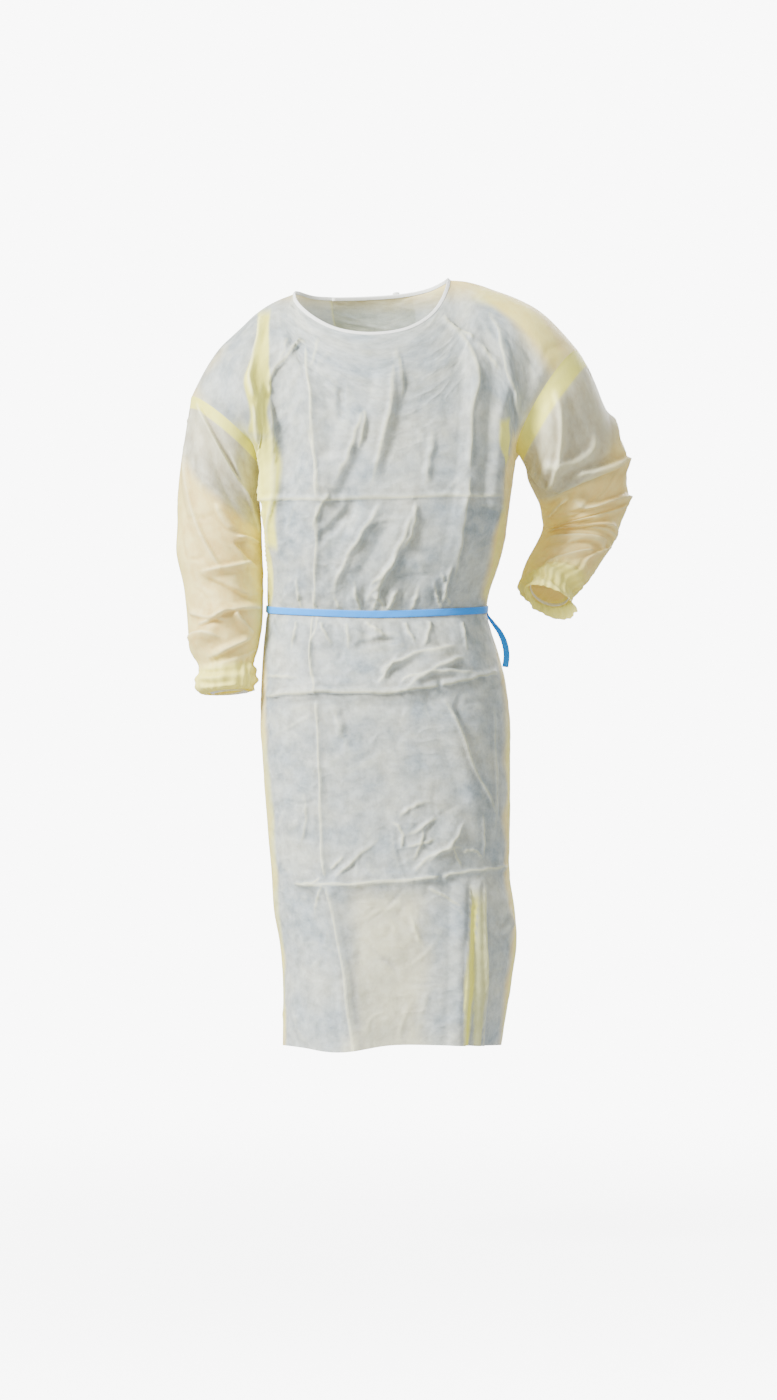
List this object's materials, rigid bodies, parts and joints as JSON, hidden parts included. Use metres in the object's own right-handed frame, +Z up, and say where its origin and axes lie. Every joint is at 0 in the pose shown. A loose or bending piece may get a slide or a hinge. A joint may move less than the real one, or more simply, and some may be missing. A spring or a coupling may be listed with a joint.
{
  "type": "isolation gown",
  "caption": "Open-back isolation gown of thin pale yellow nonwoven in its worn shape, one arm down and one hand on the hip, with gathered cuffs, bound neck and a blue waist tie.",
  "frame": {"origin": "middle of the neck base between the two shoulder seams, where the wearer's shoulders carry the gown", "axes": "+Z up, the front faces -Y, +X towards the wearer's left"},
  "size_m": [0.7276, 0.3146, 1.2268],
  "materials": {
    "gown_cloth": "thin matt spunbond nonwoven, slightly see-through",
    "neck_binding": "matt whitish nonwoven strip",
    "cuff_elastic": "matt white elastic",
    "waist_tie": "matt light blue nonwoven strip"
  },
  "bodies": {
    "root": {"front": "gown_cloth", "back_left": "gown_cloth", "back_right": "gown_cloth", "sleeve_left_upper": "gown_cloth", "sleeve_left_lower": "gown_cloth", "sleeve_right": "gown_cloth", "neck_binding": "neck_binding", "neck_tie_knot": "neck_binding", "neck_tie_end_left": "neck_binding", "neck_tie_end_right": "neck_binding", "cuff_elastic_left": "cuff_elastic", "cuff_elastic_right": "cuff_elastic", "waist_tie": "waist_tie", "waist_tie_knot": "waist_tie", "waist_tie_end_side": "waist_tie", "waist_tie_end_back": "waist_tie"}
  },
  "joints": []
}
